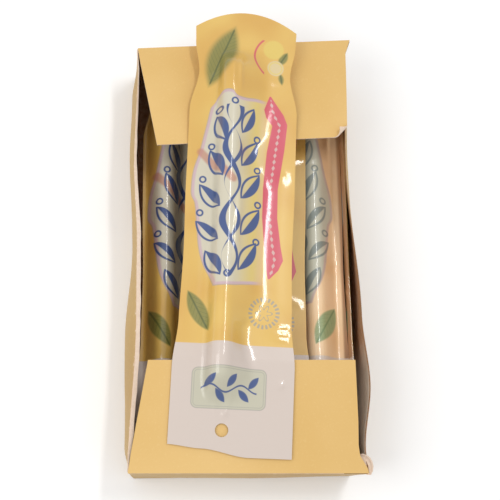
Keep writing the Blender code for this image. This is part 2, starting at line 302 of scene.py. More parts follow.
def linear(red, green, blue):
    """A colour's linear values from its sRGB ones, 0 to 255."""
    values = []
    for channel in (red, green, blue):
        share = channel / 255
        values.append(share / 12.92 if share <= 0.04045 else ((share + 0.055) / 1.055) ** 2.4)
    return tuple(values)


YELLOW = linear(217, 180, 95)
ORANGE = linear(207, 162, 79)
PALE_YELLOW = linear(214, 189, 106)
IVORY = linear(201, 194, 173)
LILAC = linear(194, 168, 172)
SLATE = linear(62, 82, 130)
CORAL = linear(200, 78, 94)
TWIG = linear(182, 120, 98)
LEAF_GREEN = linear(116, 120, 60)
LEAF_DARK = linear(72, 84, 40)
TAIL_WHITE = linear(203, 189, 179)
LABEL = linear(188, 184, 164)
GREY_LINE = linear(150, 148, 140)
LEMON = linear(214, 190, 98)
SLICE = linear(210, 190, 142)
# The reverse film's pale peach is partly a painted sheen
PEACH = linear(247, 214, 172)
PEACH_DEEP = linear(236, 196, 146)
# Painted shade and wall reflection on film beside the right wall
FILM_WALL_SHADE = linear(186, 140, 98)
PALE_GREEN = linear(140, 165, 120)
PALE_GREEN_VEIN = linear(110, 135, 95)
REVERSE_RIM = linear(196, 176, 168)
REVERSE_PANEL = linear(200, 198, 178)
REVERSE_INK = linear(110, 124, 124)
REVERSE_TAIL = linear(222, 206, 192)
CARD_SPECK = linear(236, 208, 152)
CARD_YELLOW = linear(220, 183, 118)
CARD_ORANGE = linear(213, 174, 105)
# The walls' print, darker than the flaps' as painted shade on their sides
SHADED_WALL_YELLOW = linear(186, 152, 90)
SHADED_WALL_ORANGE = linear(176, 140, 80)
BARE_BOARD = linear(250, 236, 218)
# Painted shade and painted bounced light on the inner board
SHADED_BOARD_BROWN = linear(174, 126, 88)
BOARD_FIBRE = linear(226, 206, 184)
# The right wall's cut edge, brown as painted shade
SHADED_EDGE = linear(142, 102, 68)
SHADED_EDGE_DEEP = linear(118, 84, 56)
CUT_EDGE = linear(236, 218, 200)
CUT_EDGE_DEEP = linear(216, 190, 166)
BARK = linear(120, 88, 58)
BARK_DARK = linear(74, 50, 32)


class Shader:
    """A material with a Principled surface, and arithmetic on its sockets."""

    def __init__(self, name):
        self.material = bpy.data.materials.new(name)
        self.material.use_nodes = True
        self.tree = self.material.node_tree
        self.surface = self.tree.nodes["Principled BSDF"]

    def feed(self, socket, value):
        if isinstance(value, bpy.types.NodeSocket):
            self.tree.links.new(value, socket)
        elif socket.type == "RGBA" and len(value) == 3:
            socket.default_value = (*value, 1)
        else:
            socket.default_value = value

    def node(self, kind, inputs=(), **settings):
        made = self.tree.nodes.new(kind)
        for name, value in settings.items():
            setattr(made, name, value)
        for name, value in dict(inputs).items():
            self.feed(made.inputs[name], value)
        return made

    def math(self, operation, *values):
        made = self.tree.nodes.new("ShaderNodeMath")
        made.operation = operation
        for socket, value in zip(made.inputs, values):
            self.feed(socket, value)
        return made.outputs[0]

    def add(self, first, second):
        return self.math("ADD", first, second)

    def sub(self, first, second):
        return self.math("SUBTRACT", first, second)

    def mul(self, first, second):
        return self.math("MULTIPLY", first, second)

    def abs(self, value):
        return self.math("ABSOLUTE", value)

    def lowest(self, first, *others):
        for other in others:
            first = self.math("MINIMUM", first, other)
        return first

    def highest(self, first, *others):
        for other in others:
            first = self.math("MAXIMUM", first, other)
        return first

    def outside(self, value, half_width):
        """How far a value is outside a strip about zero, and negative inside it."""
        return self.sub(self.abs(value), half_width)

    def hypot(self, first, second):
        return self.math("SQRT", self.add(self.mul(first, first), self.mul(second, second)))

    def fade(self, value, start, end):
        """0 up to start and 1 from end on, smoothly between. Start may be the larger."""
        made = self.node(
            "ShaderNodeMapRange",
            {"Value": value, "From Min": start, "From Max": end},
            interpolation_type="SMOOTHSTEP",
        )
        return made.outputs["Result"]

    def inside(self, distance, blur=0.25):
        """1 where a signed distance is negative, with an edge that is blurred a little."""
        return self.fade(distance, blur, -blur)

    def profile(self, value, points, handles="VECTOR"):
        """The value that (place, value) points have at a place, joined by straight lines or curves."""
        made = self.tree.nodes.new("ShaderNodeFloatCurve")
        places, values = zip(*points)
        length, low, high = places[-1] - places[0], min(values), max(values)
        shares = [((place - places[0]) / length, (v - low) / (high - low)) for place, v in points]
        curve = made.mapping.curves[0]
        curve.points[0].location = shares[0]
        curve.points[-1].location = shares[-1]
        for share in shares[1:-1]:
            curve.points.new(*share)
        for point in curve.points:
            point.handle_type = handles
        made.mapping.update()
        self.feed(made.inputs["Value"], self.mul(self.sub(value, places[0]), 1 / length))
        return self.add(self.mul(made.outputs["Value"], high - low), low)

    def mix(self, share, first, second):
        made = self.tree.nodes.new("ShaderNodeMix")
        made.data_type = "RGBA"
        self.feed(made.inputs[0], share)
        self.feed(made.inputs[6], first)
        self.feed(made.inputs[7], second)
        return made.outputs[2]

    def point(self, x, y, z=0.0):
        return self.node("ShaderNodeCombineXYZ", {"X": x, "Y": y, "Z": z}).outputs[0]

    def noise(self, vector, scale, detail=2.0, roughness=0.5):
        made = self.node(
            "ShaderNodeTexNoise",
            {"Vector": vector, "Scale": scale, "Detail": detail, "Roughness": roughness},
        )
        return made.outputs["Fac"]

    def place(self):
        """The point in the carton's frame, in metres."""
        return self.node("ShaderNodeTexCoord").outputs["Object"]

    def place_along(self, axis):
        return self.node("ShaderNodeSeparateXYZ", {"Vector": self.place()}).outputs[axis]

    def bump(self, height, distance):
        made = self.node("ShaderNodeBump", {"Height": height, "Distance": distance})
        self.feed(self.surface.inputs["Normal"], made.outputs["Normal"])

    def finish(self, colour, roughness, **constants):
        self.feed(self.surface.inputs["Base Color"], colour)
        self.feed(self.surface.inputs["Roughness"], roughness)
        for name, value in constants.items():
            self.surface.inputs[name.replace("_", " ")].default_value = value
        return self.material


class Print(Shader):
    """A film's print. Its coordinates are millimetres across the sachet and along it from its tail."""

    def __init__(self, name):
        super().__init__(name)
        uv = self.node("ShaderNodeUVMap", uv_map="film")
        parts = self.node("ShaderNodeSeparateXYZ", {"Vector": uv.outputs["UV"]})
        self.s = parts.outputs["X"]
        self.f = parts.outputs["Y"]

    def turned(self, across, along, degrees):
        """Coordinates about a point, turned so that the first runs at that angle from across."""
        turn = math.radians(degrees)
        s = self.sub(self.s, across)
        f = self.sub(self.f, along)
        forward = self.add(self.mul(s, math.cos(turn)), self.mul(f, math.sin(turn)))
        sideways = self.sub(self.mul(f, math.cos(turn)), self.mul(s, math.sin(turn)))
        return forward, sideways

    def leaf(self, across, along, degrees, half_length, half_width):
        """The distance outside a pointed leaf, and the place along and across it."""
        forward, sideways = self.turned(across, along, degrees)
        share = self.math("POWER", self.abs(self.mul(forward, 1 / half_length)), 2.0)
        width = self.mul(self.sub(1.0, share), half_width)
        return self.outside(sideways, width), forward, sideways

    def bar(self, across, along, degrees, half_length, half_width):
        """The distance outside a rounded bar."""
        forward, sideways = self.turned(across, along, degrees)
        past = self.highest(self.outside(forward, half_length), 0.0)
        return self.sub(self.hypot(past, sideways), half_width)

    def disc(self, across, along, radius):
        """The distance outside a disc."""
        s = self.sub(self.s, across)
        f = self.sub(self.f, along)
        return self.sub(self.hypot(s, f), radius)

    def tail(self):
        """1 on the sachet's plain tail, and 0 past it."""
        return self.fade(self.f, TAIL_LINE, TAIL_LINE - TAIL_BLUR)

    def wave(self, middle, swing, start, length):
        """A line that swings across the sachet: the place across it at each place along."""
        turn = self.mul(self.sub(self.f, start), 2 * math.pi / length)
        return self.add(self.mul(self.math("SINE", turn), swing), middle)


def panel_distance(print_):
    """The distance outside the ivory panel."""
    left = print_.sub(print_.profile(print_.f, PANEL_LEFT, "AUTO_CLAMPED"), print_.s)
    top = print_.sub(print_.f, print_.profile(print_.s, PANEL_TOP, "AUTO_CLAMPED"))
    foot = print_.sub(print_.profile(print_.s, PANEL_FOOT, "AUTO_CLAMPED"), print_.f)
    return print_.highest(left, top, foot)


def sprig(print_):
    """Ink of the leafy twig on the ivory panel, 0 or 1."""
    swell = print_.mul(print_.math("SINE", print_.mul(print_.f, SPRIG_SWELL_RATE)), 0.5)
    within = print_.outside(print_.sub(print_.f, SPRIG_MIDDLE), SPRIG_HALF_LENGTH)
    ink = 0.0
    for middle, start, thick in SPRIG_STEMS:
        stem = print_.wave(middle, SPRIG_SWING, start, SPRIG_WAVE)
        off = print_.outside(print_.sub(print_.s, stem), print_.add(swell, thick))
        ink = print_.highest(ink, print_.inside(print_.highest(off, within)))
    for leaf in SPRIG_LEAVES:
        distance, _, sideways = print_.leaf(*leaf)
        outline = print_.outside(distance, SPRIG_LEAF_LINE)
        half = print_.highest(distance, sideways)
        ink = print_.highest(ink, print_.inside(print_.lowest(outline, half)))
    for across, along in SPRIG_BERRIES:
        ring = print_.outside(print_.disc(across, along, BERRY_RADIUS), BERRY_LINE)
        ink = print_.highest(ink, print_.inside(ring))
    return ink


def band_distance(print_):
    """The distance outside the coral ribbon, and the place across it of its middle."""
    left = print_.profile(print_.f, BAND_LEFT)
    right = print_.profile(print_.f, BAND_RIGHT)
    ends = print_.outside(print_.sub(print_.f, BAND_MIDDLE), BAND_HALF_LENGTH)
    side = print_.highest(print_.sub(left, print_.s), print_.sub(print_.s, right))
    return print_.highest(side, ends), print_.mul(print_.add(left, right), 0.5)


def veined_leaf(print_, colour, leaf, shades):
    """A leaf laid over a colour, with a midrib and side veins in its second shade."""
    *shape, blur = leaf
    distance, forward, sideways = print_.leaf(*shape)
    within = print_.inside(distance, blur)
    colour = print_.mix(print_.mul(within, 0.88), colour, shades[0])
    slant = print_.sub(forward, print_.mul(print_.abs(sideways), 1.1))
    veins = print_.fade(print_.abs(print_.math("SINE", print_.mul(slant, 1.25))), 0.22, 0.05)
    rib = print_.inside(print_.outside(sideways, 0.4), 0.3)
    well_within = print_.inside(print_.add(distance, 0.6), 0.5)
    ink = print_.mul(print_.highest(print_.mul(veins, 0.7), rib), well_within)
    return print_.mix(print_.mul(ink, 0.75), colour, shades[1])


def rosette(print_, across, along, radius):
    """Ink of a ring of dashes round a small flower."""
    s = print_.sub(print_.s, across)
    f = print_.sub(print_.f, along)
    turn = print_.math("ARCTAN2", f, s)
    reach = print_.hypot(s, f)
    dashes = print_.math("SINE", print_.mul(turn, ROSETTE_DASHES))
    ring = print_.outside(print_.sub(reach, radius - 1.2), 1.0)
    ring_ink = print_.mul(print_.inside(ring), print_.fade(dashes, -0.5, 0.3))
    petals = print_.mul(print_.math("COSINE", print_.mul(turn, ROSETTE_PETALS)), 1.1)
    flower = print_.outside(print_.sub(reach, print_.add(petals, 2.9)), 0.3)
    return print_.highest(ring_ink, print_.inside(flower))


def tail_frame(print_):
    """The distance outside the framed label on the plain tail."""
    past = []
    for at, middle, half_size in zip((print_.s, print_.f), LABEL_MIDDLE, LABEL_HALF_SIZE):
        past.append(print_.highest(print_.outside(print_.sub(at, middle), half_size), 0.0))
    return print_.sub(print_.hypot(*past), LABEL_ROUNDING)


def label(print_, colour):
    """The framed label laid over a colour, with a small twig."""
    frame = tail_frame(print_)
    colour = print_.mix(print_.inside(frame), colour, LABEL)
    border = print_.lowest(print_.outside(frame, 0.2), print_.outside(print_.add(frame, 1.0), 0.12))
    colour = print_.mix(print_.mul(print_.inside(border), 0.7), colour, GREY_LINE)
    swing = print_.mul(print_.math("SINE", print_.mul(print_.s, 0.42)), 1.6)
    stem = print_.outside(print_.sub(print_.sub(print_.f, LABEL_STEM_ALONG), swing), 0.38)
    ends = print_.outside(print_.sub(print_.s, LABEL_MIDDLE[0]), LABEL_STEM_HALF_LENGTH)
    ink = print_.inside(print_.highest(stem, ends))
    for across, along, angle in LABEL_LEAVES:
        distance, _, _ = print_.leaf(across, along, angle, *LABEL_LEAF_HALF_SIZE)
        ink = print_.highest(ink, print_.inside(print_.lowest(print_.outside(distance, 0.25), distance)))
    return print_.mix(ink, colour, SLATE)


def face_colour(print_):
    """The printed face: yellow with an ivory panel, a twig, a coral band, leaves and a plain tail."""
    place = print_.point(print_.s, print_.f)
    clouds = print_.noise(place, 0.035, 1.0)
    base = print_.mix(print_.fade(clouds, 0.35, 0.7), YELLOW, ORANGE)
    edge = print_.fade(print_.abs(print_.s), 14.0, 27.0)
    base = print_.mix(print_.mul(edge, 0.35), base, ORANGE)

    panel = panel_distance(print_)
    body = print_.mix(print_.fade(print_.s, -6.0, 9.0), IVORY, PALE_YELLOW)
    showing = print_.fade(print_.s, 14.0, 6.0)
    colour = print_.mix(print_.mul(print_.inside(panel, 0.5), showing), base, LILAC)
    colour = print_.mix(print_.mul(print_.inside(print_.add(panel, 1.5), 0.5), showing), colour, body)
    rule = print_.mul(print_.inside(print_.outside(panel, 0.2)), print_.fade(print_.s, 12.0, 2.0))
    colour = print_.mix(print_.mul(rule, 0.6), colour, GREY_LINE)

    root = print_.bar(*ROOT)
    colour = print_.mix(print_.mul(print_.inside(root, 0.8), 0.72), colour, TWIG)
    colour = print_.mix(sprig(print_), colour, SLATE)

    band, middle = band_distance(print_)
    colour = print_.mix(print_.inside(band), colour, CORAL)
    beads = print_.math("SINE", print_.mul(print_.f, BEAD_RATE))
    line = print_.outside(print_.sub(print_.s, middle), print_.add(0.35, print_.mul(beads, 0.4)))
    line = print_.highest(line, print_.add(band, 1.2))
    colour = print_.mix(print_.mul(print_.inside(line), 0.7), colour, TAIL_WHITE)

    for leaf in FACE_LEAVES:
        colour = veined_leaf(print_, colour, leaf, (LEAF_GREEN, LEAF_DARK))

    arc = print_.outside(print_.disc(*ARC), 0.5)
    ends = print_.outside(print_.sub(print_.f, ARC_MIDDLE), ARC_HALF_LENGTH)
    arc = print_.highest(arc, print_.sub(print_.s, ARC_RIGHT_END), ends)
    colour = print_.mix(print_.mul(print_.inside(arc), 0.9), colour, CORAL)

    fruit = print_.disc(*FRUIT)
    colour = print_.mix(print_.mul(print_.inside(fruit, 0.6), 0.8), colour, LEMON)
    slice_ = print_.disc(*FRUIT_SLICE)
    colour = print_.mix(print_.inside(slice_, 0.4), colour, SLICE)
    pith = print_.outside(print_.add(slice_, 1.0), 0.3)
    colour = print_.mix(print_.mul(print_.inside(pith), 0.8), colour, LEMON)

    colour = print_.mix(print_.mul(rosette(print_, *ROSETTE), 0.8), colour, GREY_LINE)

    colour = print_.mix(print_.tail(), colour, TAIL_WHITE)
    return label(print_, colour)


def reverse_colour(print_):
    """The design seen from behind, without the band: paler, partly as a painted sheen, and brown beside the
    wall as painted shade and the wall's painted reflection.
    """
    place = print_.point(print_.s, print_.f)
    clouds = print_.noise(place, 0.04, 1.0)
    # Pale peach base, partly a painted sheen
    base = print_.mix(print_.fade(clouds, 0.35, 0.7), PEACH, PEACH_DEEP)
    # Film beside the right wall is painted brown: shade, and the wall's brown reflected in it
    wall_shade = print_.fade(print_.place_along("X"), FILM_SHADE_START, FILM_SHADE_FULL)
    base = print_.mix(wall_shade, base, FILM_WALL_SHADE)
    panel = panel_distance(print_)
    colour = print_.mix(print_.mul(print_.inside(panel, 0.5), 0.95), base, REVERSE_RIM)
    colour = print_.mix(print_.inside(print_.add(panel, 1.2), 0.5), colour, REVERSE_PANEL)
    colour = print_.mix(print_.mul(sprig(print_), 0.75), colour, REVERSE_INK)
    colour = veined_leaf(print_, colour, REVERSE_LEAF, (PALE_GREEN, PALE_GREEN_VEIN))
    return print_.mix(print_.tail(), colour, REVERSE_TAIL)


def film_material(name, colour_of):
    print_ = Print(name)
    place = print_.place()
    crinkle = print_.noise(place, 200.0, 2.0)
    cells = print_.node(
        "ShaderNodeTexVoronoi", {"Vector": place, "Scale": 75.0}, feature="DISTANCE_TO_EDGE"
    )
    creases = print_.fade(cells.outputs["Distance"], 0.0, 0.09)
    print_.bump(print_.add(print_.mul(crinkle, 0.6), print_.mul(creases, 0.25)), 0.00007)
    return print_.finish(
        colour_of(print_), 0.42,
        Specular_IOR_Level=0.4, Coat_Weight=0.85, Coat_Roughness=0.09, Coat_IOR=1.45,
    )


def card_material(name, light, deep, worn):
    """Printed card: cloudy, very slightly fibrous, and satin. Worn card is scuffed along its rim."""
    card = Shader(name)
    place = card.place()
    clouds = card.noise(place, 14.0, 3.0)
    colour = card.mix(card.fade(clouds, 0.35, 0.68), light, deep)
    specks = card.noise(place, 900.0, 2.0)
    colour = card.mix(card.mul(card.fade(specks, 0.55, 0.75), 0.12), colour, CARD_SPECK)
    height = card.place_along("Z")
    scuffs = card.fade(card.noise(place, 320.0, 3.0, 0.6), 0.52, 0.66)
    rubbed = card.mul(card.mul(card.fade(height, HEIGHT - 0.002, HEIGHT), scuffs), worn)
    colour = card.mix(rubbed, colour, CUT_EDGE)
    waves = card.mul(card.noise(place, 90.0, 2.0), 2.0)
    card.bump(card.add(card.noise(place, 1500.0, 2.0), waves), 0.00005)
    return card.finish(colour, 0.5, Specular_IOR_Level=0.35)


def board_material():
    """The carton's unprinted inner side: pale at the near end, and beyond it brown, which paints shade and
    the yellow light bounced from the sachets.
    """
    board = Shader("bare_board")
    place = board.place()
    fibres = board.noise(place, 420.0, 4.0, 0.65)
    # Painted shade and bounced light: the board turns brown beyond the near end
    far = board.fade(board.place_along("Y"), BOARD_SHADE_START, BOARD_SHADE_FULL)
    shaded_board = board.mix(far, BARE_BOARD, SHADED_BOARD_BROWN)
    colour = board.mix(board.mul(board.fade(fibres, 0.3, 0.75), 0.3), shaded_board, BOARD_FIBRE)
    board.bump(fibres, 0.00008)
    return board.finish(colour, 0.85, Specular_IOR_Level=0.2)


def edge_material(name, light, deep):
    """Cut card, with fine layers."""
    edge = Shader(name)
    place = edge.place()
    colour = edge.mix(edge.noise(place, 700.0, 3.0), light, deep)
    edge.bump(edge.noise(place, 1800.0, 2.0), 0.00006)
    return edge.finish(colour, 0.8, Specular_IOR_Level=0.2)


def bark_material():
    """Root bark: brown, with long furrows."""
    bark = Shader("root_bark")
    parts = bark.node("ShaderNodeSeparateXYZ", {"Vector": bark.place()})
    stretched = bark.point(parts.outputs["X"], bark.mul(parts.outputs["Y"], 0.12), parts.outputs["Z"])
    furrows = bark.noise(stretched, 900.0, 5.0, 0.6)
    colour = bark.mix(bark.fade(furrows, 0.35, 0.65), BARK_DARK, BARK)
    bark.bump(furrows, 0.0006)
    return bark.finish(colour, 0.85, Specular_IOR_Level=0.25)


def eased(points, at):
    """The values at some places, from (place, value) points, easing in and out of each."""
    places, values = np.array(points, float).T
    at = np.asarray(at, float)
    i = np.clip(np.searchsorted(places, at), 1, len(places) - 1)
    share = np.clip((at - places[i - 1]) / (places[i] - places[i - 1]), 0, 1)
    return values[i - 1] + (values[i] - values[i - 1]) * share * share * (3 - 2 * share)


def ease(share):
    share = np.clip(share, 0, 1)
    return share * share * (3 - 2 * share)


def between(first, last, share):
    return Vector(first).lerp(Vector(last), share)


def sheet_object(name, points, materials, uv=None, closed=False, caps=()):
    """An object of a grid of points, rows by columns, as one surface. Closed joins each row's ends,
    and caps are the rows that get one flat face over them."""
    rows, columns = points.shape[:2]
    index = np.arange(rows * columns).reshape(rows, columns)
    rings = [index[row].tolist()[:: 1 if row else -1] for row in caps]
    if closed:
        index = np.hstack([index, index[:, :1]])
    faces = np.stack([index[:-1, :-1], index[:-1, 1:], index[1:, 1:], index[1:, :-1]], -1).reshape(-1, 4)
    mesh = bpy.data.meshes.new(name)
    mesh.from_pydata(points.reshape(-1, 3).tolist(), [], faces.tolist() + rings)
    if uv is not None:
        layer = mesh.uv_layers.new(name="film")
        layer.uv.foreach_set("vector", uv.reshape(-1, 2)[faces.ravel()].astype(np.float32).ravel())
    for material in materials:
        mesh.materials.append(material)
    obj = bpy.data.objects.new(name, mesh)
    bpy.context.scene.collection.objects.link(obj)
    return obj


def thicken(obj, thickness, inner=0, rim=0):
    """A thickness added along the normals, or against them if negative."""
    shell = obj.modifiers.new("Thickness", "SOLIDIFY")
    shell.thickness = abs(thickness)
    shell.offset = math.copysign(1, thickness)
    shell.use_even_offset = True
    shell.material_offset = inner
    shell.material_offset_rim = rim


def settle(obj, sharp_degrees=40):
    """The object's modifiers made part of its mesh, smooth but for its sharp edges."""
    evaluated = obj.evaluated_get(bpy.context.evaluated_depsgraph_get())
    mesh = bpy.data.meshes.new_from_object(evaluated)
    obj.modifiers.clear()
    obj.data = mesh
    mesh.shade_smooth()
    mesh.set_sharp_from_angle(angle=math.radians(sharp_degrees))
    return obj


def dress(piece, slot, *nodes):
    """A finished piece that rides on the one body, and stands for CAD nodes if any are named."""
    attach(piece, "root")
    if nodes:
        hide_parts(*nodes)


def from_far_end(points):
    return tuple((1 - share, offset) for share, offset in reversed(points))


class Wall(NamedTuple):
    """A carton wall. Its corners are (base point, rim point), and its length is at the base."""

    start: tuple
    end: tuple
    outward: tuple
    rim: tuple
    belly: tuple
    length: float
    segments: int


def carton_walls():
    """The walls in order round the base, from the near one."""
    x, y = BASE_WIDTH / 2, BASE_LENGTH / 2
    left_rim, left_belly = from_far_end(LEFT_RIM), from_far_end(LEFT_BELLY)
    near_left = ((-x, -y), NEAR_LEFT_RIM)
    near_right = ((x, -y), NEAR_RIGHT_RIM)
    far_right = ((x, y), FAR_RIGHT_RIM)
    far_left = ((-x, y), FAR_LEFT_RIM)
    return (
        Wall(near_left, near_right, (0, -1), END_RIM, END_BELLY, BASE_WIDTH, END_SEGMENTS),
        Wall(near_right, far_right, (1, 0), RIGHT_RIM, RIGHT_BELLY, BASE_LENGTH, SIDE_SEGMENTS),
        Wall(far_right, far_left, (0, 1), END_RIM, END_BELLY, BASE_WIDTH, END_SEGMENTS),
        Wall(far_left, near_left, (-1, 0), left_rim, left_belly, BASE_LENGTH, SIDE_SEGMENTS),
    )


def wall_point(wall, share, level):
    """A point of a wall's outer face, a share of the way along it. Level is 0 at the base, 1 at the rim."""
    start = between(*wall.start, level)
    end = between(*wall.end, level)
    bow = float(eased(wall.rim, share)) * level
    bow += float(eased(wall.belly, share)) * math.sin(math.pi * level)
    flat = start.lerp(end, share) + Vector(wall.outward) * bow
    return Vector((flat.x, flat.y, HEIGHT * level))


def make_tray(card, board, edge, shaded_edge):
    """The back panel and walls in one sheet of card, with dented walls and rounded creases."""
    rings = []
    for band in range(WALL_LEVELS + 1):
        level = band / WALL_LEVELS
        ring = []
        for wall in carton_walls():
            inset = CREASE_RADIUS / wall.length
            outward = Vector((*wall.outward, 0))
            for i in range(wall.segments + 1):
                share = inset + (1 - 2 * inset) * i / wall.segments
                point = wall_point(wall, share, level)
                dent = noise.noise(point * DENTS_PER_METRE) * DENT * math.sin(math.pi * min(1, level * 1.1))
                ring.append(tuple(point + outward * dent))
        rings.append(ring)
    materials = (card, board, edge, shaded_edge)
    obj = sheet_object("carton_tray_card", np.array(rings), materials, closed=True, caps=(0,))
    thicken(obj, -CARD, inner=1, rim=2)
    settle(obj)
    # The right wall's cut edges get the brown edge, which paints shade
    for polygon in obj.data.polygons:
        if polygon.material_index == materials.index(edge) and polygon.center.x > SHADED_EDGE_X:
            polygon.material_index = materials.index(shaded_edge)
    dress(obj, "card", "carton_tray")


def flap_side(corners, share):
    """A point of a flap's side, a share of the way from its crease to its free edge."""
    x, y = zip(*corners)
    place = y[0] + (y[-1] - y[0]) * share
    away = [abs(corner - y[0]) for corner in y]
    return Vector((float(np.interp(abs(place - y[0]), away, x)), place))


def roll_corner(points, start, direction, radius):
    """Rolls up what lies beyond a line on a flap, about that line. Direction points off the flap."""
    away = np.array(direction, float)
    away /= np.linalg.norm(away)
    past = (points[..., :2] - np.array(start)) @ away
    turn = np.maximum(past, 0) / radius
    sideways = radius * np.sin(turn) - np.maximum(past, 0)
    rolled = points.copy()
    rolled[..., 0] += sideways * away[0]
    rolled[..., 1] += sideways * away[1]
    rolled[..., 2] += radius * (1 - np.cos(turn))
    return rolled


def make_flap(node, left, right, rise, crown, materials, roll=None):
    """A flap between its two sides, which rises towards its free edge."""
    rows = []
    for i in range(FLAP_ROWS + 1):
        share = i / FLAP_ROWS
        start, end = flap_side(left, share), flap_side(right, share)
        height = HEIGHT + GAP + rise * share + crown * math.sin(math.pi * share)
        row = []
        for column in range(FLAP_COLUMNS + 1):
            point = start.lerp(end, column / FLAP_COLUMNS)
            wave = noise.noise(Vector((point.x * 22, point.y * 22, 3.0))) * FLAP_WAVE * share
            row.append((point.x, point.y, height + abs(wave)))
        rows.append(row)
    points = np.array(rows)
    if points[0, 0, 1] > points[-1, 0, 1]:
        points = points[::-1]
    if roll:
        points = roll_corner(points, *roll)
    obj = sheet_object(f"{node}_card", points, materials)
    # The printed side is up, and the thickness is added below it
    obj.data.transform(Matrix.Translation((0, 0, CARD)))
    thicken(obj, -CARD, inner=1, rim=2)
    dress(settle(obj), "card", node)


def taut_height(off, left_skirt, right_skirt, left_round=0.0, right_round=0.0):
    """The height of film drawn over the stick, at distances across from it. Each skirt reaches so far
    from the stick, and comes down flat as roundly as asked."""
    centre = STICK_RADIUS
    radius = STICK_RADIUS + FILM_CLEARANCE
    height = centre + np.sqrt(np.maximum(radius**2 - off**2, 0))
    for sign, skirt, blend in ((-1, left_skirt, left_round), (1, right_skirt, right_round)):
        turn = np.arctan2(centre, skirt) + np.arcsin(radius / np.hypot(skirt, centre))
        touch_x = radius * np.sin(turn)
        touch_z = centre + radius * np.cos(turn)
        side = off * sign
        to_toe = skirt - side
        to_toe = (to_toe + np.sqrt(to_toe**2 + blend**2)) / 2
        slope = touch_z * np.minimum(to_toe / (skirt - touch_x), 1)
        height = np.where(side > touch_x, slope, height)
    return height


def fold_height(across, along, path, height, width):
    """The height of a soft fold along a path of (across, along) points, dying out at its ends, or of
    a round swelling about a single point."""
    path = np.array(path, float) * MM
    if len(path) == 1:
        reach = np.hypot(across - path[0, 0], along - path[0, 1])
        return height * MM * np.exp(-((reach / (width * MM)) ** 2))
    lengths = np.hypot(*np.diff(path, axis=0).T)
    total = lengths.sum()
    nearest = np.full(across.shape, np.inf)
    travelled = np.zeros(across.shape)
    before = 0.0
    for start, end, length in zip(path, path[1:], lengths):
        step = (end - start) / length
        forward = np.clip((across - start[0]) * step[0] + (along - start[1]) * step[1], 0, length)
        reach = np.hypot(across - start[0] - forward * step[0], along - start[1] - forward * step[1])
        closer = reach < nearest
        nearest = np.where(closer, reach, nearest)
        travelled = np.where(closer, before + forward, travelled)
        before += length
    fullness = np.sin(np.pi * np.clip(travelled / total, 0, 1)) ** 0.5
    return height * MM * np.exp(-((nearest / (width * MM)) ** 2)) * (0.25 + 0.75 * fullness)


def soften(heights, passes):
    """Heights blurred a little, with each edge kept."""
    for _ in range(passes):
        inner = heights[1:-1, 1:-1] * 0.5
        inner += (heights[:-2, 1:-1] + heights[2:, 1:-1] + heights[1:-1, :-2] + heights[1:-1, 2:]) * 0.125
        heights[1:-1, 1:-1] = inner
    return heights


